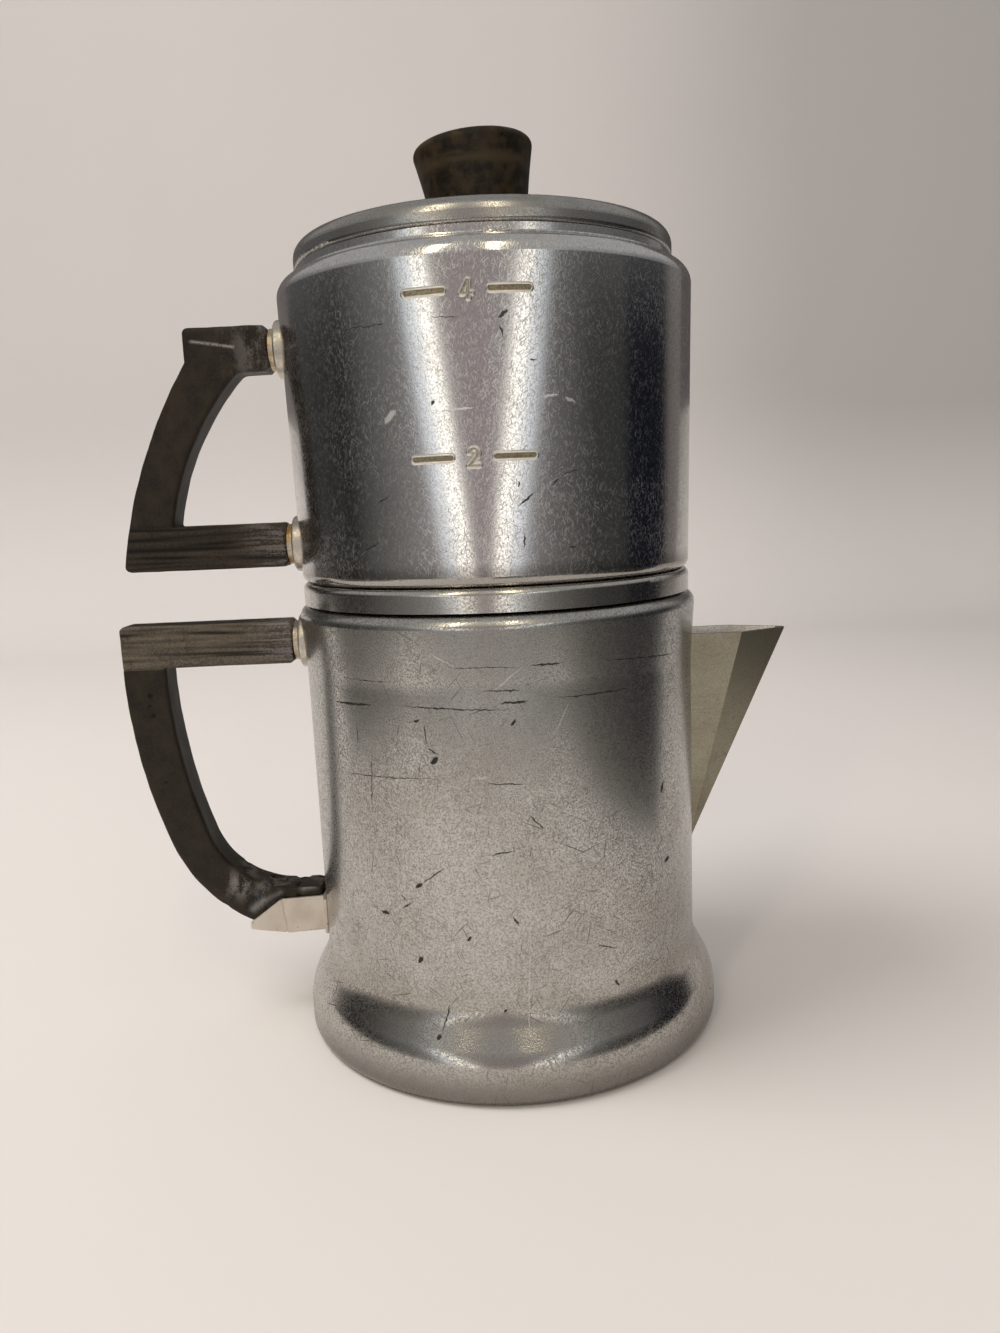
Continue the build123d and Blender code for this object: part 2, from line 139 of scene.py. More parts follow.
class Shade(Wiring):
    """A material. Lengths in its coordinates are millimetres."""

    def __init__(self, name):
        self.material = bpy.data.materials.new(name)
        self.material.use_nodes = True
        super().__init__(self.material.node_tree)
        self.place = self.vector("SCALE", self.node("ShaderNodeTexCoord").outputs["Object"], scale=1 / MM)
        self.x, self.y, self.z = self.split(self.place)

    def vector(self, operation, first, second=None, scale=None):
        made = self.node("ShaderNodeVectorMath", operation=operation)
        self.feed(made.inputs[0], first)
        if second is not None:
            self.feed(made.inputs[1], second)
        if scale is not None:
            made.inputs["Scale"].default_value = scale
        return made.outputs[0]

    def stretch(self, place, x, y, z):
        return self.vector("MULTIPLY", place, (x, y, z))

    def steps(self, frequency):
        """The place with the same frequency in every direction."""
        return self.stretch(self.place, frequency, frequency, frequency)

    def around(self):
        """Arc length round the pot's axis, height, and distance from the axis."""
        angle = self.math("ARCTAN2", self.y, self.x)
        reach = self.math("SQRT", self.add(self.times(self.x, self.x), self.times(self.y, self.y)))
        joined = self.node("ShaderNodeCombineXYZ")
        for socket, value in zip(joined.inputs, (self.times(angle, POT_RADIUS), self.z, reach)):
            self.feed(socket, value)
        return joined.outputs[0]

    def noise(self, place, detail=2.0, roughness=0.5, output=0):
        made = self.node("ShaderNodeTexNoise")
        self.feed(made.inputs["Vector"], place)
        made.inputs["Scale"].default_value = 1.0
        made.inputs["Detail"].default_value = detail
        made.inputs["Roughness"].default_value = roughness
        return made.outputs[output]

    def waver(self, place, frequency, reach):
        """The place moved about by up to half of reach."""
        drift = self.noise(self.stretch(place, frequency, frequency, frequency), output="Color")
        drift = self.vector("SUBTRACT", drift, (0.5, 0.5, 0.5))
        return self.vector("ADD", place, self.vector("SCALE", drift, scale=reach))

    def dashes(self, place, angle, along, across, low, high):
        """Lines at an angle on an unrolled wall; along and across are frequencies.

        The place turns about another centre for each angle, so that no two sets of lines are alike.
        """
        turned = self.node("ShaderNodeVectorRotate", rotation_type="Z_AXIS")
        self.feed(turned.inputs["Vector"], place)
        turned.inputs["Center"].default_value = (97.0 * angle, 41.0 * along, 0.0)
        turned.inputs["Angle"].default_value = -angle
        lines = self.noise(self.stretch(turned.outputs[0], along, across, 0.0), detail=1)
        return self.span(lines, low, high)

    def spot(self, place, azimuth, height, length, width, tilt):
        """Narrow ellipse on an unrolled wall. Azimuth 0 faces the front."""
        made = self.node("ShaderNodeMapping", vector_type="TEXTURE")
        self.feed(made.inputs["Vector"], place)
        made.inputs["Location"].default_value = (radians(azimuth - 90) * POT_RADIUS, height, 0.0)
        made.inputs["Rotation"].default_value = (0.0, 0.0, radians(tilt))
        made.inputs["Scale"].default_value = (length / 2, width / 2, FLATTENED)
        far = self.node("ShaderNodeVectorMath", operation="LENGTH")
        self.feed(far.inputs[0], made.outputs[0])
        return self.span(far.outputs["Value"], 0.6, 1.0, 1.0, 0.0)

    def surface(self, colour, roughness, height, relief, metallic=0.0, specular=0.5):
        """Finish the material. Height of 1 stands relief millimetres above height of 0."""
        bump = self.node("ShaderNodeBump")
        bump.inputs["Distance"].default_value = relief * MM
        self.feed(bump.inputs["Height"], height)
        shader = self.node("ShaderNodeBsdfPrincipled")
        self.feed(shader.inputs["Base Color"], colour)
        self.feed(shader.inputs["Roughness"], roughness)
        self.feed(shader.inputs["Normal"], bump.outputs[0])
        shader.inputs["Metallic"].default_value = metallic
        shader.inputs["Specular IOR Level"].default_value = specular
        output = self.node("ShaderNodeOutputMaterial")
        self.tree.links.new(shader.outputs[0], output.inputs[0])
        return self.material


def shaded(colour, *factors):
    """A colour times one factor, or times one factor for each of its parts."""
    return [part * factor for part, factor in zip(colour, factors * (3 // len(factors)))]


# Marks on the front of the walls: azimuth, height, length, width and tilt, in degrees and millimetres

RESERVOIR_MARKS = [
    (4.2, 182.8, 3.4, 1.1, 42),
    (3.8, 179.2, 3.6, 0.4, -74),
    (-9.2, 182.7, 7.2, 0.25, -2),
    (-30.3, 182.5, 15.0, 0.25, 0),
    (8.2, 143.5, 5.4, 0.5, 37),
    (15.6, 147.1, 3.0, 0.5, 43),
    (19.4, 149.1, 5.4, 0.35, 15),
    (6.5, 146.8, 1.7, 0.5, 63),
    (-28.2, 144.7, 3.9, 0.4, 25),
    (-33.0, 134.1, 7.0, 0.4, 21),
    (-13.2, 165.1, 1.4, 0.9, 46),
    (19.8, 132.4, 2.7, 0.5, 3),
    (7.4, 134.4, 4.2, 0.4, 88),
    (10.9, 173.1, 1.8, 0.4, 2),
]
RESERVOIR_SCUFFS = [
    (-24.6, 162.8, 4.6, 1.7, 44),
    (14.7, 165.6, 4.6, 0.7, 7),
    (20.0, 164.6, 3.4, 0.8, -30),
    (-7.5, 163.4, 9.0, 0.5, 3),
]
SERVER_MARKS = [
    (-43.3, 96.5, 17.0, 0.7, 2),
    (-12.5, 96.8, 31.0, 0.35, -2),
    (3.0, 98.0, 8.2, 0.7, 2),
    (25.4, 98.3, 26.0, 0.4, 0),
    (0.1, 100.8, 10.0, 0.4, -2),
    (11.8, 106.4, 8.4, 0.5, 0),
    (40.8, 105.1, 31.0, 0.4, -4),
    (-3.9, 106.3, 19.0, 0.25, -1),
    (-37.7, 102.7, 20.0, 0.25, 0),
    (-20.0, 90.6, 6.0, 0.35, -86),
    (-18.2, 86.7, 3.6, 0.4, -34),
    (-17.9, 84.4, 2.8, 1.5, 45),
    (-22.3, 93.8, 1.5, 0.9, 22),
    (2.8, 93.3, 2.1, 0.9, 52),
    (0.1, 78.8, 10.8, 0.35, -3),
    (7.9, 69.1, 6.0, 0.4, -48),
    (-1.3, 62.2, 7.2, 0.35, 9),
    (48.5, 71.1, 3.0, 1.0, 69),
    (50.6, 51.7, 3.2, 1.5, 16),
    (-24.4, 53.3, 2.9, 1.2, 34),
    (-20.0, 56.2, 8.4, 0.4, 36),
    (-37.8, 78.3, 19.0, 0.25, 85),
    (-42.2, 88.9, 5.0, 0.35, 91),
    (-32.6, 79.4, 38.0, 0.25, 3),
    (-36.0, 44.6, 3.0, 1.1, 0),
    (-28.7, 47.5, 4.0, 0.5, 31),
    (-29.4, 49.4, 3.2, 0.35, -43),
    (-25.3, 34.0, 2.7, 1.1, 54),
    (-11.0, 40.7, 1.9, 0.8, 46),
    (1.4, 45.2, 3.5, 0.5, -58),
    (26.2, 35.3, 6.4, 0.4, -21),
    (-18.2, 20.0, 8.4, 0.45, 78),
    (-19.6, 16.0, 1.7, 1.2, 47),
    (-2.3, 22.6, 1.2, 0.8, 14),
    (29.5, 25.0, 2.7, 0.8, -50),
]
SERVER_SCUFFS = [
    (4.4, 31.0, 34.0, 0.3, 87),
    (-6.0, 80.5, 4.6, 0.5, 0),
    (2.0, 103.5, 9.0, 0.3, 38),
    (-14.0, 108.0, 8.0, 0.3, -30),
    (15.0, 93.0, 10.0, 0.3, 62),
]


# Metal

GRAIN_FREQUENCY = 2.2
RING_STRETCH = (0.03, 2.6, 2.6)
BLOTCH_FREQUENCY = 0.05
DENSITY_FREQUENCY = 0.045
BREAK_FREQUENCY = 0.09
# Each set of fine lines by its angle and its frequencies along and across
HAIRS = (
    (1.25, 0.42, 3.4),
    (1.52, 0.46, 3.8),
    (1.85, 0.44, 3.6),
    (0.65, 0.50, 3.7),
    (2.45, 0.48, 3.9),
)
SHORT_SCRATCHES = [
    (angle, 0.24 + 0.03 * number, 3.2 + 0.15 * number)
    for number, angle in enumerate((0.1, 0.62, 1.1, 1.65, 2.2, 2.7))
]
LONG_SCRATCHES = [(angle, 0.085, 2.3) for angle in (0.3, 0.85, 1.4, 2.0, 2.65)]
# Where in the range of the noise a line starts, and where it is full
SHORT_LINE = (0.62, 0.72)
LONG_LINE = (0.67, 0.75)
SHORT_SCRATCH_STRENGTH = 0.6
MARK_TONE = (0.018, 0.016, 0.014)


def aluminium(
    name, tone, roughness, relief=0.008, speckle=0.4, hairs=0.0, scratches=0.0, rings=0.0, dirt=0.3,
    marks=(), scuffs=(), bands=(), painted_inner_highlight=None,
):
    """Worn aluminium.

    Each band is a height, half its width, a colour, its strength and the roughness it takes away.
    painted_inner_highlight is a painted highlight: the paler colour of faces that look towards the plane y =
    0.
    """
    s = Shade(name)
    wall = s.around()
    bent = s.waver(wall, 0.35, 1.4)
    straight = s.waver(wall, 0.15, 0.5)
    grain = s.span(s.noise(s.steps(GRAIN_FREQUENCY), detail=3, roughness=0.65), 0.42, 0.64)
    ringing = s.noise(s.stretch(wall, *RING_STRETCH))
    blotch = s.span(s.noise(s.steps(BLOTCH_FREQUENCY), detail=5, roughness=0.62), 0.42, 0.68)
    density = s.span(s.noise(s.steps(DENSITY_FREQUENCY), detail=3), 0.35, 0.62, 0.5, 1.0)
    hair = s.most(s.dashes(straight, *lines, *SHORT_LINE) for lines in HAIRS)
    hair = s.times(hair, density)
    short = s.most(s.dashes(bent, *lines, *SHORT_LINE) for lines in SHORT_SCRATCHES)
    long = s.most(s.dashes(straight, *lines, *LONG_LINE) for lines in LONG_SCRATCHES)
    broken = s.span(s.noise(s.steps(BREAK_FREQUENCY), detail=3), 0.42, 0.56)
    scratch = s.math("MAXIMUM", s.times(short, density, SHORT_SCRATCH_STRENGTH), s.times(long, broken))
    scratch = s.times(scratch, scratches)
    rough_line = s.waver(wall, 0.9, 0.9)
    mark = s.most(s.spot(rough_line, *each) for each in marks)
    scuff = s.most(s.spot(rough_line, *each) for each in scuffs)
    stain = s.times(blotch, dirt)

    colour = s.mix(stain, tone, shaded(tone, 0.66, 0.61, 0.55))
    for height, half, band_colour, strength, polish in bands:
        near = s.near(s.z, height, 0.2 * half, half)
        colour = s.mix(s.times(near, strength), colour, band_colour)
        roughness = s.add(roughness, s.times(near, -polish))
    # Painted highlight: faces that look inwards, towards the plane y = 0, take a paler colour.
    if painted_inner_highlight is not None:
        facing = s.split(s.node("ShaderNodeTexCoord").outputs["Normal"])[1]
        colour = s.mix(s.math("LESS_THAN", s.times(facing, s.y), 0.0), colour, painted_inner_highlight)
    colour = s.mix(s.times(grain, speckle), colour, shaded(tone, 0.45))
    colour = s.mix(s.times(hair, 0.25 * hairs), colour, shaded(tone, 0.6))
    colour = s.mix(s.times(scratch, 0.85), colour, shaded(tone, 0.30, 0.28, 0.25))
    colour = s.mix(s.times(scuff, 0.7), colour, shaded(tone, 1.25))
    colour = s.mix(s.times(mark, 0.9), colour, MARK_TONE)
    rough = s.add(
        roughness,
        s.times(grain, 0.24 * speckle),
        s.times(hair, 0.32 * hairs),
        s.times(scratch, 0.25),
        s.times(stain, 0.08),
        s.times(s.math("MAXIMUM", scuff, mark), 0.3),
    )
    height = s.add(
        s.times(grain, -0.35),
        s.times(hair, -0.6 * hairs),
        s.times(ringing, rings),
        s.times(scratch, -0.5),
    )
    return s.surface(colour, rough, height, relief, metallic=1.0)


FERRULE_TONE = (0.66, 0.62, 0.55)
GOLDEN_OXIDE = (0.50, 0.29, 0.07)
OXIDE_REACH = 2.6
SHOE_TONE = (0.70, 0.635, 0.565)


def ferrule_metal(name, joint, gold):
    """Pale ferrule with golden oxide where the moulding butts against it, at x = joint."""
    s = Shade(name)
    grain = s.span(s.noise(s.steps(1.4), detail=3), 0.35, 0.68)
    cloud = s.noise(s.steps(0.5), detail=4, roughness=0.6)
    near = s.near(s.x, joint, 0.3, OXIDE_REACH, gold)
    colour = s.mix(s.times(grain, 0.35), FERRULE_TONE, shaded(FERRULE_TONE, 0.55, 0.50, 0.42))
    colour = s.mix(s.times(near, s.span(cloud, 0.3, 0.6)), colour, GOLDEN_OXIDE)
    rough = s.add(0.30, s.times(grain, 0.18), s.times(near, 0.2))
    return s.surface(colour, rough, s.add(grain, cloud), 0.015, metallic=1.0)


def shoe_metal(name):
    """Tan-white sheet, dulled, with faint stains and specks."""
    s = Shade(name)
    grain = s.noise(s.steps(1.1), detail=3, roughness=0.6)
    cloud = s.span(s.noise(s.steps(0.16), detail=4), 0.35, 0.7)
    speck = s.span(s.noise(s.steps(0.7), detail=1), 0.70, 0.76)
    colour = s.mix(s.times(cloud, 0.5), SHOE_TONE, shaded(SHOE_TONE, 0.75, 0.70, 0.66))
    colour = s.mix(s.times(speck, 0.6), colour, shaded(SHOE_TONE, 0.35))
    rough = s.add(0.42, s.times(grain, 0.2))
    return s.surface(colour, rough, grain, 0.02, metallic=0.85)


# Moulded handles and knob

# Near black of the painted shade in carved grooves, the seam, pits and chips
PAINTED_GROOVE_SHADE = (0.003, 0.0025, 0.002)
# Pale of rubbed moulding, and of the painted sheen at the server's heel
RUBBED_AND_SHEEN_TONE = (0.22, 0.20, 0.20)
SCRAPED_TONE = (0.34, 0.32, 0.32)
RING_REACH = 2.4
CARVED = ("groove", "rubbed_and_sheen", "scraped")


def moulding(
    name, tone, streaks, relief, mottle=0.09, clouded=0.45, cloud=1.5, spread=(0.45, 1.35), ring=None,
):
    """Dark moulded material with speckle, cloudy wear and streaks. ring is the height of a pale ring.

    It reads three attributes of the mesh: carved grooves, the seam, pits and chips are darkened as painted
    shade; rubbed spots are paler, from wear and, at the server's heel, partly from painted sheen; scraped
    spots are paler.
    """
    s = Shade(name)
    speckle = s.noise(s.steps(1.9), detail=4, roughness=0.65)
    streak = s.noise(s.stretch(s.place, *streaks), detail=3, roughness=0.6)
    haze = s.span(s.noise(s.steps(mottle), detail=4), 0.38, 0.66)
    groove, rubbed_and_sheen, scraped = (
        s.node("ShaderNodeAttribute", attribute_name=label).outputs["Fac"] for label in CARVED
    )
    colour = s.mix(s.span(speckle, 0.34, 0.66), *(shaded(tone, factor) for factor in spread))
    colour = s.mix(s.times(haze, clouded), colour, shaded(tone, cloud))
    colour = s.mix(s.times(s.span(streak, 0.52, 0.72), 0.5), colour, shaded(tone, 1.9, 1.85, 1.75))
    if ring is not None:
        near = s.near(s.z, ring, 0.3, RING_REACH, 0.8)
        colour = s.mix(s.times(near, s.span(streak, 0.3, 0.6)), colour, shaded(tone, 3.2, 3.4, 4.0))
    # Painted shade: grooves, the seam, pits and chips are darkened by their carved share.
    colour = s.mix(s.times(groove, 0.9), colour, PAINTED_GROOVE_SHADE)
    # Paler where rubbed, and at the server's heel partly a painted sheen
    wear_and_sheen = s.times(rubbed_and_sheen, s.span(s.add(streak, s.times(speckle, 0.5)), 0.66, 0.92))
    colour = s.mix(wear_and_sheen, colour, RUBBED_AND_SHEEN_TONE)
    colour = s.mix(s.times(scraped, s.span(speckle, 0.25, 0.55)), colour, SCRAPED_TONE)
    rough = s.add(0.40, s.times(speckle, 0.28), s.times(groove, 0.2))
    height = s.add(s.times(streak, 0.8), s.times(speckle, 0.5))
    return s.surface(colour, rough, height, relief, specular=0.28)


# Finishes

# Bands round the server's foot: the brown band above the belly is a painted reflection; below it lies a
# paler, smoother band; the lowest band darkens the foot towards the bottom.
FOOT_BANDS = [
    (21.0, 8.0, (0.42, 0.33, 0.26), 0.30, 0.0),
    (13.0, 9.0, (0.60, 0.55, 0.49), 0.30, 0.09),
    (0.0, 12.0, (0.17, 0.145, 0.13), 0.85, 0.0),
]
RESERVOIR_BANDS = [(126.0, 4.5, (0.33, 0.305, 0.275), 0.8, 0.0)]
server_metal = aluminium(
    "server_metal", (0.60, 0.59, 0.565), 0.18, relief=0.010, speckle=0.72, scratches=1.0, rings=0.2,
    dirt=0.35, marks=SERVER_MARKS, scuffs=SERVER_SCUFFS, bands=FOOT_BANDS,
)
reservoir_metal = aluminium(
    "reservoir_metal", (0.77, 0.755, 0.74), 0.085, relief=0.006, speckle=0.38, hairs=1.0, scratches=0.2,
    dirt=0.2, marks=RESERVOIR_MARKS, scuffs=RESERVOIR_SCUFFS, bands=RESERVOIR_BANDS,
)
lid_metal = aluminium(
    "lid_metal", (0.48, 0.467, 0.447), 0.22, speckle=0.40, scratches=0.3, rings=0.5, dirt=0.45,
)
basket_metal = aluminium(
    "basket_metal", (0.64, 0.62, 0.585), 0.14, speckle=0.45, scratches=0.6, rings=0.3,
)
# The spout's inner faces are painted paler, as a painted highlight.
spout_metal = aluminium(
    "spout_metal", (0.36, 0.333, 0.258), 0.30, speckle=0.35, scratches=0.35, dirt=0.5,
    painted_inner_highlight=(0.72, 0.69, 0.66),
)
screw_metal = aluminium("screw_metal", (0.50, 0.49, 0.47), 0.33, speckle=0.40, rings=0.6, dirt=0.6)
lip_metal = aluminium("lip_metal", (0.84, 0.81, 0.75), 0.28, speckle=0.15, dirt=0.1)
slot_dirt = aluminium("slot_dirt", (0.36, 0.32, 0.23), 0.38, speckle=0.75, dirt=0.8)
numeral_dirt = aluminium("numeral_dirt", (0.55, 0.51, 0.44), 0.35, speckle=0.75, dirt=0.6)

ARM_STREAKS = (0.06, 1.3, 1.3)
GRIP_STREAKS = (0.35, 0.35, 0.12)
KNOB_STREAKS = (0.07, 0.07, 0.40)
server_arm_moulding = moulding("server_arm_moulding", (0.105, 0.085, 0.064), ARM_STREAKS, 0.04)
reservoir_arm_moulding = moulding("reservoir_arm_moulding", (0.033, 0.024, 0.015), ARM_STREAKS, 0.04)
grip_moulding = moulding(
    "grip_moulding", (0.017, 0.012, 0.007), GRIP_STREAKS, 0.03, mottle=0.2, cloud=2.2,
)
KNOB_RING = 227.0
knob_moulding = moulding(
    "knob_moulding", (0.020, 0.0135, 0.006), KNOB_STREAKS, 0.05,
    mottle=0.32, clouded=0.9, cloud=2.3, spread=(0.1, 1.0), ring=KNOB_RING,
)

finishes = {
    "server_aluminium": server_metal,
    "basket_aluminium": basket_metal,
    "reservoir_aluminium": reservoir_metal,
    "lid_aluminium": lid_metal,
    "fitting_aluminium": shoe_metal("shoe_metal"),
    "dark_moulding": knob_moulding,
    "screw_steel": screw_metal,
}
own_finishes = {"server_spout": spout_metal}
FERRULE_GOLD = {
    "server_handle_ferrule": 0.35,
    "reservoir_lower_ferrule": 1.0,
    "reservoir_upper_ferrule": 0.55,
}
for node, gold in FERRULE_GOLD.items():
    own_finishes[node] = ferrule_metal(node + "_metal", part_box(node)[0][0] / MM, gold)
for part in frame["record"]["subparts"]:
    materials = nodes[part["node"]].data.materials
    materials.clear()
    materials.append(own_finishes.get(part["node"], finishes[part["material_slot"]]))


# Pieces

def new_object(name, mesh):
    made = bpy.data.objects.new(name, mesh)
    scene.collection.objects.link(made)
    return made


def smooth_step(values, low, high):
    share = np.clip((values - low) / (high - low), 0.0, 1.0)
    return share * share * (3.0 - 2.0 * share)


# Cup marks pressed out of the reservoir's wall

MARK_STEP = 0.08
MARK_SINK = 0.05
MARK_BACK = 0.35
LIP_RELIEF = 0.22
LIP_INNER = -0.1
LIP_START = 0.20
LIP_REACH = 0.64
FLOOR_RELIEF = 0.10
FLOOR_EDGE = 0.02
NUMERAL_AZIMUTH = -4.0
NUMERAL_HALF_HEIGHT = 1.8
NUMERAL_HALF_WIDTH = 1.05
STROKE_REACH = 0.26
STROKE_POINTS = 60
FOUR_STEM = 0.35
FOUR_BAR = -0.45
TWO_BOWL = 0.9
TWO_ARC = (170, -40)
TWO_ARC_POINTS = 90
BAR_AZIMUTHS = (-14.1, 6.0)
BAR_HALF_LENGTH = 4.1
BAR_REACH = 0.58
CUP_HEIGHTS = {"2": 153.1, "4": 188.1}


def wall_tree(node):
    mesh = nodes[node].data
    return BVHTree.FromPolygons([v.co for v in mesh.vertices], [p.vertices for p in mesh.polygons])


reservoir_wall = wall_tree("reservoir_shell")


def wall_radius(height):
    """Outer radius of the reservoir's front wall at a height."""
    start = Vector((0.0, -2 * POT_RADIUS * MM, height * MM))
    return -reservoir_wall.ray_cast(start, Vector((0.0, 1.0, 0.0)))[0].y / MM


def polyline(*corners):
    """Points close together along straight strokes."""
    return np.concatenate([
        np.linspace(start, end, STROKE_POINTS)
        for start, end in zip(np.array(corners[:-1]), np.array(corners[1:]))
    ])


def numeral_strokes(numeral):
    """Points along the strokes of a plain 2 or 4, about its middle."""
    w, h = NUMERAL_HALF_WIDTH, NUMERAL_HALF_HEIGHT
    if numeral == "4":
        stem, bar = FOUR_STEM * w, FOUR_BAR * h
        return polyline((stem, -h), (stem, h), (-w, bar), (w, bar))
    bowl = TWO_BOWL * w
    turn = np.radians(np.linspace(*TWO_ARC, TWO_ARC_POINTS))
    arc = np.stack([bowl * np.cos(turn), h - bowl + bowl * np.sin(turn)], -1)
    return np.concatenate([arc, polyline(tuple(arc[-1]), (-w, -h), (w, -h))])


def pressed_mark(name, azimuth, height, strokes, reach, floor_metal):
    """Closed patch on the wall: a groove along the strokes, with a floor and a raised lip round it.

    reach is half the width of the floor.
    """
    half_width, half_height = np.abs(strokes).max(0) + reach + LIP_REACH
    columns = np.linspace(-half_width, half_width, round(2 * half_width / MARK_STEP) + 1)
    rows = np.linspace(-half_height, half_height, round(2 * half_height / MARK_STEP) + 1)
    u, v = np.meshgrid(columns, rows)
    radii = np.array([wall_radius(height + row) for row in rows])[:, None]
    turn = radians(azimuth) + u / radii
    beyond = np.hypot(u[..., None] - strokes[:, 0], v[..., None] - strokes[:, 1]).min(-1) - reach
    raised = FLOOR_RELIEF * (1 - smooth_step(beyond, 0.0, LIP_REACH))
    lip = smooth_step(beyond, LIP_INNER, LIP_START) - smooth_step(beyond, LIP_START, LIP_REACH)
    raised += LIP_RELIEF * lip
    floor = beyond < FLOOR_EDGE

    def sheet(offset):
        out = radii + offset
        return np.stack([out * np.sin(turn), -out * np.cos(turn), height + v], -1).reshape(-1, 3) * MM

    count = u.size
    index = np.arange(count).reshape(u.shape)
    front = np.stack([index[:-1, :-1], index[:-1, 1:], index[1:, 1:], index[1:, :-1]], -1).reshape(-1, 4)
    edge = np.concatenate([index[0, :-1], index[:-1, -1], index[-1, :0:-1], index[:0:-1, 0]])
    ahead = np.roll(edge, -1)
    rim = np.stack([ahead, edge, edge + count, ahead + count], -1)
    points = np.concatenate([sheet(raised - MARK_SINK), sheet(-MARK_BACK + 0 * u)])
    faces = np.concatenate([front, front[:, ::-1] + count, rim])
    mesh = bpy.data.meshes.new(name)
    mesh.from_pydata(points.tolist(), [], faces.tolist())
    mesh.materials.append(lip_metal)
    mesh.materials.append(floor_metal)
    shade = np.zeros(len(faces), int)
    shade[:len(front)] = floor.reshape(-1)[front].mean(1) > 0.5
    mesh.polygons.foreach_set("material_index", shade)
    mesh.polygons.foreach_set("use_smooth", [True] * len(faces))
    piece = new_object(name, mesh)
    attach(piece, "reservoir")


for numeral, height in CUP_HEIGHTS.items():
    for side, azimuth in zip(("left", "right"), BAR_AZIMUTHS):
        bar = polyline((-BAR_HALF_LENGTH, 0.0), (BAR_HALF_LENGTH, 0.0))
        pressed_mark(f"cup_bar_{numeral}_{side}", azimuth, height, bar, BAR_REACH, slot_dirt)
    strokes = numeral_strokes(numeral)
    pressed_mark(f"cup_numeral_{numeral}", NUMERAL_AZIMUTH, height, strokes, STROKE_REACH, numeral_dirt)


# Carved handles

HANDLE_VOXEL = 0.32
GRAIN_LINES = 8
GROOVE_FULL_DEPTH = 0.26
ARM_EDGE = 0.2
ARM_END_FACING = (0.6, 0.9)
FRONT_FACING = -0.5
SEAM_DEPTH = 0.16
SEAM_WIDTH = 0.22
SEAM_SHADE = 0.7
UNEVENNESS = 0.05
UNEVENNESS_LENGTH = 7.0
PIT_DEPTH = 0.35
PIT_SHADE = (0.3, 0.6)
RUBBED_START = 2.0
RUBBED_REACH = 16.0
RUBBED_MARGIN = 1.0
# Strength of the spots rubbed paler and painted with sheen
WEAR_AND_SHEEN_STRENGTH = 1.2
# Pits, and spots worn paler and painted with sheen, on the server's handle: x, z and radius
SERVER_PITS = [(-96.5, 94.5, 0.9), (-96.1, 88.9, 0.7), (-96.9, 91.6, 0.4), (-94.5, 69.7, 0.4)]
HEEL_WEAR_AND_SHEEN = [(-76.4, 38.9, 3.5)]
# Scrapes on the front of the handles: x and z of both ends, reach and strength
SERVER_SCRAPES = [
    ((-77.2, 101.7), (-75.2, 101.6), 0.28, 1.0),
    ((-73.6, 101.7), (-72.0, 101.7), 0.28, 1.0),
    ((-73.2, 31.6), (-70.0, 33.8), 1.1, 0.55),
    ((-70.0, 33.8), (-65.2, 36.0), 0.8, 0.40),
    ((-58.5, 37.2), (-55.5, 37.8), 1.0, 0.55),
]
RESERVOIR_SCRAPES = [
    ((-76.8, 187.6), (-71.7, 186.8), 0.28, 1.0),
    ((-71.7, 186.8), (-65.8, 185.8), 0.28, 1.0),
]
HEEL_INSET = 12.0
HEEL_RISE = 8.0
HEEL_REACH = 20.0
HEEL_CORE = 0.35
# How far the heel is rubbed paler, partly as a painted sheen, and the length and span of its unevenness
HEEL_RUB_AND_SHEEN = 0.5
HEEL_RUB_AND_SHEEN_LENGTH = 8.0
HEEL_RUB_AND_SHEEN_SPAN = (-0.2, 0.8)
CHIP_DEPTH = 0.55
CHIP_LENGTH = 5.0
CHIP_SPAN = (0.3, 1.1)
CHIP_SHADE = 0.6
SERVER_SEED = 11
RESERVOIR_SEED = 23
# How far the arms are rubbed beside their ferrules
SERVER_ARM_WEAR = 0.9
LOWER_ARM_WEAR = 0.6
UPPER_ARM_WEAR = 0.45


def grain_grooves(rng, along, across, half):
    """Depth of wavering grooves that run along one face of an arm."""
    depth = np.zeros_like(along)
    for number in range(GRAIN_LINES):
        middle = half * (2 * (number + 0.5 + rng.uniform(-0.35, 0.35)) / GRAIN_LINES - 1)
        sway = rng.uniform(0.1, 0.4) * np.sin(along / rng.uniform(6, 15) + rng.uniform(0, 2 * pi))
        fade = 0.6 + 0.4 * np.sin(along / rng.uniform(4, 12) + rng.uniform(0, 2 * pi))
        width = rng.uniform(0.26, 0.55)
        depth += rng.uniform(0.15, 0.42) * fade * np.exp(-(((across - middle - sway) / width) ** 2))
    return depth


def ripple(rng, points, length, count=14):
    """Smooth unevenness between about -1 and 1 with ripples of about a length."""
    total = np.zeros(len(points))
    for _ in range(count):
        way = rng.normal(size=3)
        way *= 2 * pi / (length * rng.uniform(0.7, 1.5) * np.linalg.norm(way))
        total += np.sin(points @ way + rng.uniform(0, 2 * pi))
    return total / np.sqrt(count)


def even_mesh(node, voxel):
    """Copy of a node's mesh with small even faces."""
    mesh = nodes[node].data.copy()
    weld = bmesh.new()
    weld.from_mesh(mesh)
    bmesh.ops.remove_doubles(weld, verts=weld.verts, dist=0.001 * MM)
    weld.to_mesh(mesh)
    weld.free()
    rough = new_object(node + "_rough", mesh)
    remesh = rough.modifiers.new("even_faces", "REMESH")
    remesh.mode = "VOXEL"
    remesh.voxel_size = voxel * MM
    even = bpy.data.meshes.new_from_object(rough.evaluated_get(bpy.context.evaluated_depsgraph_get()))
    bpy.data.objects.remove(rough)
    return even


def mesh_points(mesh):
    """Points in millimetres, and normals."""
    points = np.empty(3 * len(mesh.vertices), np.float32)
    normals = np.empty_like(points)
    mesh.vertices.foreach_get("co", points)
    mesh.vertex_normals.foreach_get("vector", normals)
    return points.reshape(-1, 3).astype(float) / MM, normals.reshape(-1, 3).astype(float)


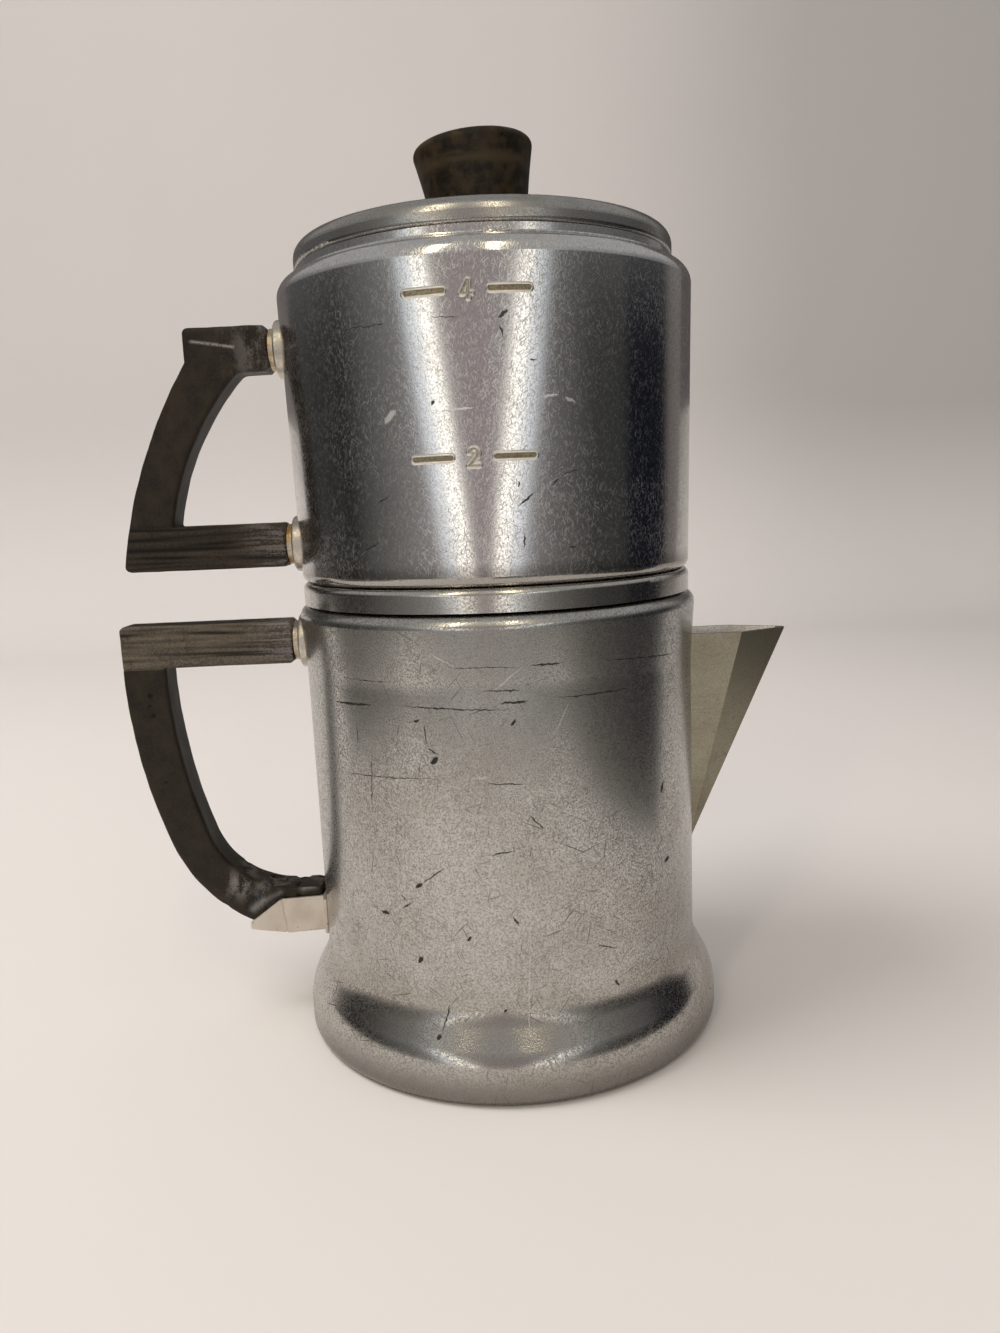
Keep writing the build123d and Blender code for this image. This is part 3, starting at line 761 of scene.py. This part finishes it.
def off_stroke(x, z, start, end):
    """Distance of points from a straight stroke."""
    start, way = np.array(start), np.subtract(end, start)
    share = np.clip(((x - start[0]) * way[0] + (z - start[1]) * way[1]) / (way @ way), 0.0, 1.0)
    return np.hypot(x - start[0] - share * way[0], z - start[1] - share * way[1])


def spot_share(x, z, middle_x, middle_z, radius):
    """1 in the middle of a round spot, fading away about its radius."""
    return np.exp(-((x - middle_x) ** 2 + (z - middle_z) ** 2) / radius**2)


def on_side(normals):
    """Whether a point faces more to the front or back than up or down."""
    return np.abs(normals[:, 1]) > np.abs(normals[:, 2])


def arm_share(z, normals, middle, half):
    """1 on the long faces of the reeded arm, and 0 on its ends and on the grip."""
    share = 1.0 - smooth_step(np.abs(z - middle), half - ARM_EDGE, half + ARM_EDGE)
    return share * (1.0 - smooth_step(np.abs(normals[:, 0]), *ARM_END_FACING))


def arm_reeding(rng, points, normals, middle, half):
    """Depth of the grooves on the four long faces of an arm."""
    x, y, z = points.T
    side = on_side(normals)
    depth = np.zeros(len(points))
    for facing, across in (
        (side & (normals[:, 1] < 0), z - middle),
        (side & (normals[:, 1] >= 0), z - middle),
        (~side & (normals[:, 2] < 0), y),
        (~side & (normals[:, 2] >= 0), y),
    ):
        depth += np.where(facing, grain_grooves(rng, x, across, half), 0.0)
    return depth


def ferrule_wear(x, z, half, arm_starts):
    """How far each arm is rubbed pale beside its ferrule."""
    rubbed_and_sheen = np.zeros(len(x))
    for start, height, wear in arm_starts:
        near = (np.abs(z - height) < half + RUBBED_MARGIN) & (x > start - RUBBED_REACH)
        fade = wear * (1 - smooth_step(start - x, RUBBED_START, RUBBED_REACH))
        rubbed_and_sheen = np.maximum(rubbed_and_sheen, np.where(near, fade, 0.0))
    return rubbed_and_sheen


def heel_damage(rng, points, heel):
    """How far the moulding is chipped about the heel, and how far it is rubbed paler there, partly as a
    painted sheen.
    """
    off = np.hypot(points[:, 0] - heel[0], points[:, 2] - heel[1])
    near = 1 - smooth_step(off, HEEL_CORE * HEEL_REACH, HEEL_REACH)
    chips = smooth_step(ripple(rng, points, CHIP_LENGTH), *CHIP_SPAN) * near
    rub_and_sheen = HEEL_RUB_AND_SHEEN * near * smooth_step(ripple(rng, points, HEEL_RUB_AND_SHEEN_LENGTH), *HEEL_RUB_AND_SHEEN_SPAN)
    return chips, rub_and_sheen


def carve_handle(
    node, body, seed, arm_moulding, reeded_axis, seam, arm_starts, pits=(), heel=None, wear_and_sheen=(), scrapes=(),
):
    """Stand-in for a handle node with a reeded arm, a seam, pits, scrapes and a chipped heel.

    reeded_axis is the height of the reeded arm's middle, and seam that of the line where it meets the grip.
    arm_starts are the x at which each arm meets its ferrule, with that arm's height and its wear.
    """
    rng = np.random.default_rng(seed)
    mesh = even_mesh(node, HANDLE_VOXEL)
    mesh.name = node + "_carved"
    points, normals = mesh_points(mesh)
    x, _, z = points.T
    half = abs(seam - reeded_axis)
    front = normals[:, 1] < FRONT_FACING
    arm = arm_share(z, normals, reeded_axis, half)
    reeding = arm_reeding(rng, points, normals, reeded_axis, half)
    depth = arm * reeding
    # The groove share carries painted shade: it darkens deeper grooves, and the seam, pits and chips below.
    groove = arm * np.clip(reeding / GROOVE_FULL_DEPTH, 0, 1)
    line = np.where(on_side(normals), np.exp(-(((z - seam) / SEAM_WIDTH) ** 2)), 0.0)
    depth += SEAM_DEPTH * line
    groove = np.maximum(groove, SEAM_SHADE * line)
    depth += UNEVENNESS * (1 - arm) * (1 + ripple(rng, points, UNEVENNESS_LENGTH))
    for pit in pits:
        hole = np.where(front, spot_share(x, z, *pit), 0.0)
        depth += PIT_DEPTH * hole
        groove = np.maximum(groove, smooth_step(hole, *PIT_SHADE))
    rubbed_and_sheen = ferrule_wear(x, z, half, arm_starts)
    # About the heel the moulding is rubbed paler, partly as a painted sheen.
    if heel is not None:
        chips, heel_rub_and_sheen = heel_damage(rng, points, heel)
        depth += CHIP_DEPTH * chips
        groove = np.maximum(groove, CHIP_SHADE * chips)
        rubbed_and_sheen = np.maximum(rubbed_and_sheen, heel_rub_and_sheen)
    # Spots rubbed paler, partly as a painted sheen
    for spot in wear_and_sheen:
        rubbed_and_sheen = np.maximum(rubbed_and_sheen, WEAR_AND_SHEEN_STRENGTH * spot_share(x, z, *spot))
    scraped = np.zeros(len(points))
    for start, end, reach, strength in scrapes:
        scraped = np.maximum(scraped, strength * np.exp(-((off_stroke(x, z, start, end) / reach) ** 2)))
    scraped = np.where(front, scraped, 0.0)
    moved = points - normals * depth[:, None]
    mesh.vertices.foreach_set("co", (moved * MM).ravel())
    for label, values in zip(CARVED, (groove, rubbed_and_sheen, scraped)):
        mesh.attributes.new(label, "FLOAT", "POINT").data.foreach_set("value", values)
    mesh.materials.clear()
    mesh.materials.append(grip_moulding)
    mesh.materials.append(arm_moulding)
    on_arm = arm > 0.5
    mesh.polygons.foreach_set("material_index", [int(on_arm[p.vertices[0]]) for p in mesh.polygons])
    mesh.polygons.foreach_set("use_smooth", [True] * len(mesh.polygons))
    mesh.update()
    piece = new_object(mesh.name, mesh)
    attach(piece, body)
    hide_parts(node)


def in_mm(node):
    low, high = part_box(node)
    return np.array(low) / MM, np.array(high) / MM


def ferrule_face(node):
    """Where a ferrule meets its arm: x, and the height of the arm's middle."""
    low, high = in_mm(node)
    return low[0], (low[2] + high[2]) / 2


def carve_handles():
    server_low, server_high = in_mm("server_handle")
    server_start, server_axis = ferrule_face("server_handle_ferrule")
    carve_handle(
        "server_handle", "server", SERVER_SEED, server_arm_moulding,
        reeded_axis=server_axis,
        seam=2 * server_axis - server_high[2],
        arm_starts=[(server_start, server_axis, SERVER_ARM_WEAR)],
        pits=SERVER_PITS,
        heel=(server_high[0] - HEEL_INSET, server_low[2] + HEEL_RISE),
        wear_and_sheen=HEEL_WEAR_AND_SHEEN,
        scrapes=SERVER_SCRAPES,
    )
    reservoir_low = in_mm("reservoir_handle")[0]
    lower_start, lower_axis = ferrule_face("reservoir_lower_ferrule")
    upper_start, upper_axis = ferrule_face("reservoir_upper_ferrule")
    carve_handle(
        "reservoir_handle", "reservoir", RESERVOIR_SEED, reservoir_arm_moulding,
        reeded_axis=lower_axis,
        seam=2 * lower_axis - reservoir_low[2],
        arm_starts=[(lower_start, lower_axis, LOWER_ARM_WEAR), (upper_start, upper_axis, UPPER_ARM_WEAR)],
        scrapes=RESERVOIR_SCRAPES,
    )


carve_handles()


# Creased shoe under the heel

SHOE_VOXEL = 0.2
SHOE_SMOOTHING = 3
SMOOTHING_FACTOR = 0.5
# Where the cheeks start and where they are full, as shares of half the shoe's width
CHEEK = (0.3, 0.7)
# Ends of the crease by x and z, its depth, and how far it reaches to the left and to the right
CREASE_TOP = (-65.3, 33.5)
CREASE_FOOT = (-64.2, 24.8)
CREASE_DEPTH = 0.9
CREASE_LEFT = 6.5
CREASE_RIGHT = 0.55


def crease_shoe():
    """Stand-in for the shoe with softened edges, whose cheeks are pinched in along a crease at the fold."""
    node = "server_handle_shoe"
    mesh = even_mesh(node, SHOE_VOXEL)
    mesh.name = node + "_creased"
    soften = bmesh.new()
    soften.from_mesh(mesh)
    for _ in range(SHOE_SMOOTHING):
        bmesh.ops.smooth_vert(
            soften, verts=soften.verts, factor=SMOOTHING_FACTOR,
            use_axis_x=True, use_axis_y=True, use_axis_z=True,
        )
    soften.to_mesh(mesh)
    soften.free()
    points = mesh_points(mesh)[0]
    x, y, z = points.T
    slope = (CREASE_FOOT[0] - CREASE_TOP[0]) / (CREASE_FOOT[1] - CREASE_TOP[1])
    off = x - CREASE_TOP[0] - slope * (z - CREASE_TOP[1])
    pinch = np.where(off < 0, np.clip(1 + off / CREASE_LEFT, 0, 1), np.exp(-((off / CREASE_RIGHT) ** 2)))
    half = np.abs(y).max()
    cheek = smooth_step(np.abs(y), CHEEK[0] * half, CHEEK[1] * half)
    points[:, 1] -= np.sign(y) * CREASE_DEPTH * pinch * cheek
    mesh.vertices.foreach_set("co", (points * MM).ravel())
    mesh.materials.clear()
    mesh.materials.append(finishes["fitting_aluminium"])
    mesh.polygons.foreach_set("use_smooth", [True] * len(mesh.polygons))
    mesh.update()
    piece = new_object(mesh.name, mesh)
    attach(piece, "server")
    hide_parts(node)


crease_shoe()


# Camera

CAMERA_PLACE = (0.00006, -0.27601, 0.14351)
CAMERA_SENSOR = 36.0
CAMERA_LENS = 27.03
# Degrees by which the camera looks down, and by which it is turned about its line of sight
CAMERA_DROP = 9.415
CAMERA_ROLL = -2.441

camera = new_object("camera", bpy.data.cameras.new("camera"))
camera.data.sensor_width = CAMERA_SENSOR
camera.data.lens = CAMERA_LENS
camera.location = CAMERA_PLACE
camera.rotation_euler = (
    Matrix.Rotation(radians(90 - CAMERA_DROP), 4, "X") @ Matrix.Rotation(radians(CAMERA_ROLL), 4, "Z")
).to_euler()
scene.camera = camera
scene.view_settings.view_transform = "Standard"


# Lights

LIGHT_TARGET = Vector((0.0, 0.0, 0.13))
NEUTRAL = (1.0, 0.96, 0.92)
WARM = (1.0, 0.87, 0.62)
COOL = (0.82, 0.91, 1.0)
TUBE = dict(elevation=38, distance=1.6, width=0.12, length=0.95, colour=WARM)


def softbox(name, azimuth, elevation, distance, width, length, radiance, colour):
    """Area light that faces the pot. Azimuth 0 is the camera's side."""
    light = bpy.data.lights.new(name, "AREA")
    light.shape = "RECTANGLE"
    light.size, light.size_y = width, length
    light.energy = radiance * pi * width * length
    light.color = colour
    lamp = new_object(name, light)
    turn, rise = radians(azimuth), radians(elevation)
    way = Vector((sin(turn) * cos(rise), -cos(turn) * cos(rise), sin(rise)))
    aim = (-way).to_track_quat("-Z", "Y").to_matrix().to_4x4()
    lamp.matrix_world = Matrix.Translation(LIGHT_TARGET + distance * way) @ aim
    lamp.visible_camera = False
    return lamp


key = softbox(
    "key", azimuth=-78, elevation=58, distance=1.4, width=0.7, length=0.7, radiance=6.5, colour=NEUTRAL,
)
key.visible_glossy = False
softbox("left_tube", azimuth=-27, radiance=7.5, **TUBE)
softbox("right_tube", azimuth=9, radiance=6.5, **TUBE)


# Room

# Windows by azimuth at the horizon, turn for each degree of rise, and how far the cool halo stands from
# the warm core, in degrees
WINDOWS = ((-22.3, -1.07, -4.0), (10.5, 1.2, 4.0))
WINDOW_HALO = 0.80
WINDOW_CORE = 0.95
HALO_REACH = (5.5, 11.0)
CORE_REACH = (2.5, 5.5)
WINDOW_FOOT = (-15, -5)
WINDOW_HEAD = (14, 22)
CEILING = (0.41, 0.405, 0.40)
CEILING_START = (0.10, 0.50)
BELOW = (0.17, 0.155, 0.14)
BELOW_START = (-14, -4)
BELOW_SIDE = (20, 60)
ROOM_SEEN = (0.56, 0.52, 0.51)
# Colours round the pot by azimuth in degrees
ROOM_SIDES = [
    (-180, (0.45, 0.43, 0.43)),
    (-146, (0.40, 0.38, 0.38)),
    (-132, (0.05, 0.05, 0.05)),
    (-84, (0.024, 0.024, 0.022)),
    (-62, (0.12, 0.12, 0.115)),
    (-40, (0.24, 0.23, 0.225)),
    (-20, (0.30, 0.265, 0.265)),
    (-5, (0.32, 0.27, 0.275)),
    (14, (0.28, 0.26, 0.27)),
    (34, (0.14, 0.135, 0.13)),
    (58, (0.045, 0.045, 0.042)),
    (78, (0.035, 0.036, 0.036)),
    (83, (0.007, 0.008, 0.013)),
    (112, (0.007, 0.008, 0.013)),
    (119, (0.15, 0.135, 0.125)),
    (150, (0.25, 0.225, 0.215)),
    (180, (0.45, 0.43, 0.43)),
]


def light_room():
    """Surroundings by direction: two windows in front, dark at both sides, pale behind and above."""
    world = bpy.data.worlds.new("room")
    scene.world = world
    world.use_nodes = True
    w = Wiring(world.node_tree)
    x, y, z = w.split(w.node("ShaderNodeTexCoord").outputs["Generated"])
    angle = w.math("ARCTAN2", x, w.times(y, -1.0))
    turn = w.math("DEGREES", angle)
    rise = w.math("DEGREES", w.math("ARCSINE", z))
    sides = w.node("ShaderNodeValToRGB")
    w.feed(sides.inputs[0], w.add(w.times(angle, 0.5 / pi), 0.5))
    ramp = sides.color_ramp
    for number, (degrees, colour) in enumerate(ROOM_SIDES):
        position = (degrees + 180) / 360
        stop = ramp.elements[number] if number < 2 else ramp.elements.new(position)
        stop.position = position
        stop.color = (*colour, 1.0)
    around = sides.outputs[0]
    level = w.times(w.span(rise, *WINDOW_FOOT), w.span(rise, *WINDOW_HEAD, 1.0, 0.0))
    for horizon, slope, outward in WINDOWS:
        across = w.math("SUBTRACT", turn, w.add(w.times(rise, slope), horizon))
        for colour, strength, aside, reach in (
            (COOL, WINDOW_HALO, outward, HALO_REACH),
            (WARM, WINDOW_CORE, 0.0, CORE_REACH),
        ):
            share = w.times(level, w.near(across, aside, *reach, strength))
            around = w.glow(around, share, colour)
    around = w.mix(w.span(z, *CEILING_START), around, CEILING)
    low = w.times(w.span(rise, *BELOW_START, 0.8, 0.0), w.span(turn, *BELOW_SIDE, 1.0, 0.25))
    around = w.mix(low, around, BELOW)
    reflected = w.node("ShaderNodeBackground")
    w.feed(reflected.inputs["Color"], around)
    seen = w.node("ShaderNodeBackground")
    seen.inputs["Color"].default_value = (*ROOM_SEEN, 1.0)
    choose = w.node("ShaderNodeMixShader")
    w.feed(choose.inputs[0], w.node("ShaderNodeLightPath").outputs["Is Camera Ray"])
    w.feed(choose.inputs[1], reflected.outputs[0])
    w.feed(choose.inputs[2], seen.outputs[0])
    w.feed(w.node("ShaderNodeOutputWorld").inputs[0], choose.outputs[0])


light_room()


# Stage

STAGE_WIDE_FROM = 0.35
STAGE_BEND_START = 0.75
STAGE_BEND = 0.25
STAGE_TURN = 6
STAGE_TOP = 1.3
FLOOR_REACH = 2.4
PAPER = (0.93, 0.895, 0.88)
# Colour of the paper where its shade is painted in
PAPER_PAINTED_SHADE = (0.55, 0.53, 0.525)
PAPER_CLOUD_FREQUENCY = 0.004


def stage_sheet(name, half_width, front, near_left, near_right, lift, paper):
    """Table that runs up into a wall well behind the pot, with its own reach to each side beside the pot."""
    rows = [(front, 0.0, near_left, near_right), (0.0, 0.0, near_left, near_right)]
    rows += [(y, 0.0, half_width, half_width) for y in (STAGE_WIDE_FROM, STAGE_BEND_START)]
    for turn in range(STAGE_TURN, 91, STAGE_TURN):
        y = STAGE_BEND_START + STAGE_BEND * sin(radians(turn))
        rows.append((y, STAGE_BEND * (1 - cos(radians(turn))), half_width, half_width))
    rows.append((STAGE_BEND_START + STAGE_BEND, STAGE_TOP, half_width, half_width))
    points = [(x, y, z + lift) for y, z, left, right in rows for x in (-left, right)]
    faces = [(2 * i, 2 * i + 1, 2 * i + 3, 2 * i + 2) for i in range(len(rows) - 1)]
    mesh = bpy.data.meshes.new(name)
    mesh.from_pydata(points, [], faces)
    mesh.materials.append(paper)
    mesh.polygons.foreach_set("use_smooth", [True] * len(faces))
    sheet = new_object(name, mesh)
    return sheet


def make_stage():
    """Wide pale floor for the eye, and a narrower table that only the metal mirrors; their paper has painted
    shade, darker up the wall and towards the right.
    """
    s = Shade("stage_paper")
    cloud = s.noise(s.steps(PAPER_CLOUD_FREQUENCY), detail=3)
    # Painted shade: the paper is darker up the wall and towards the right, where less light falls; the cloud
    # adds uneven tone.
    right = s.span(s.x, 60, 500)
    shade = s.add(
        s.span(s.z, 0, 300, 0.0, 0.50),
        s.times(right, 0.23),
        s.times(right, s.span(s.z, 20, 300), 0.3),
        s.times(cloud, 0.10),
    )
    paper = s.surface(s.mix(shade, PAPER, PAPER_PAINTED_SHADE), 0.6, cloud, 0.01)
    floor = stage_sheet(
        "stage", half_width=FLOOR_REACH, front=-FLOOR_REACH, near_left=FLOOR_REACH, near_right=FLOOR_REACH,
        lift=0.0, paper=paper,
    )
    floor.visible_glossy = False
    table = stage_sheet(
        "stage_mirrored", half_width=1.1, front=-0.34, near_left=0.36, near_right=0.215,
        lift=0.00005, paper=paper,
    )
    table.visible_camera = False
    table.visible_diffuse = False
    table.visible_shadow = False


make_stage()
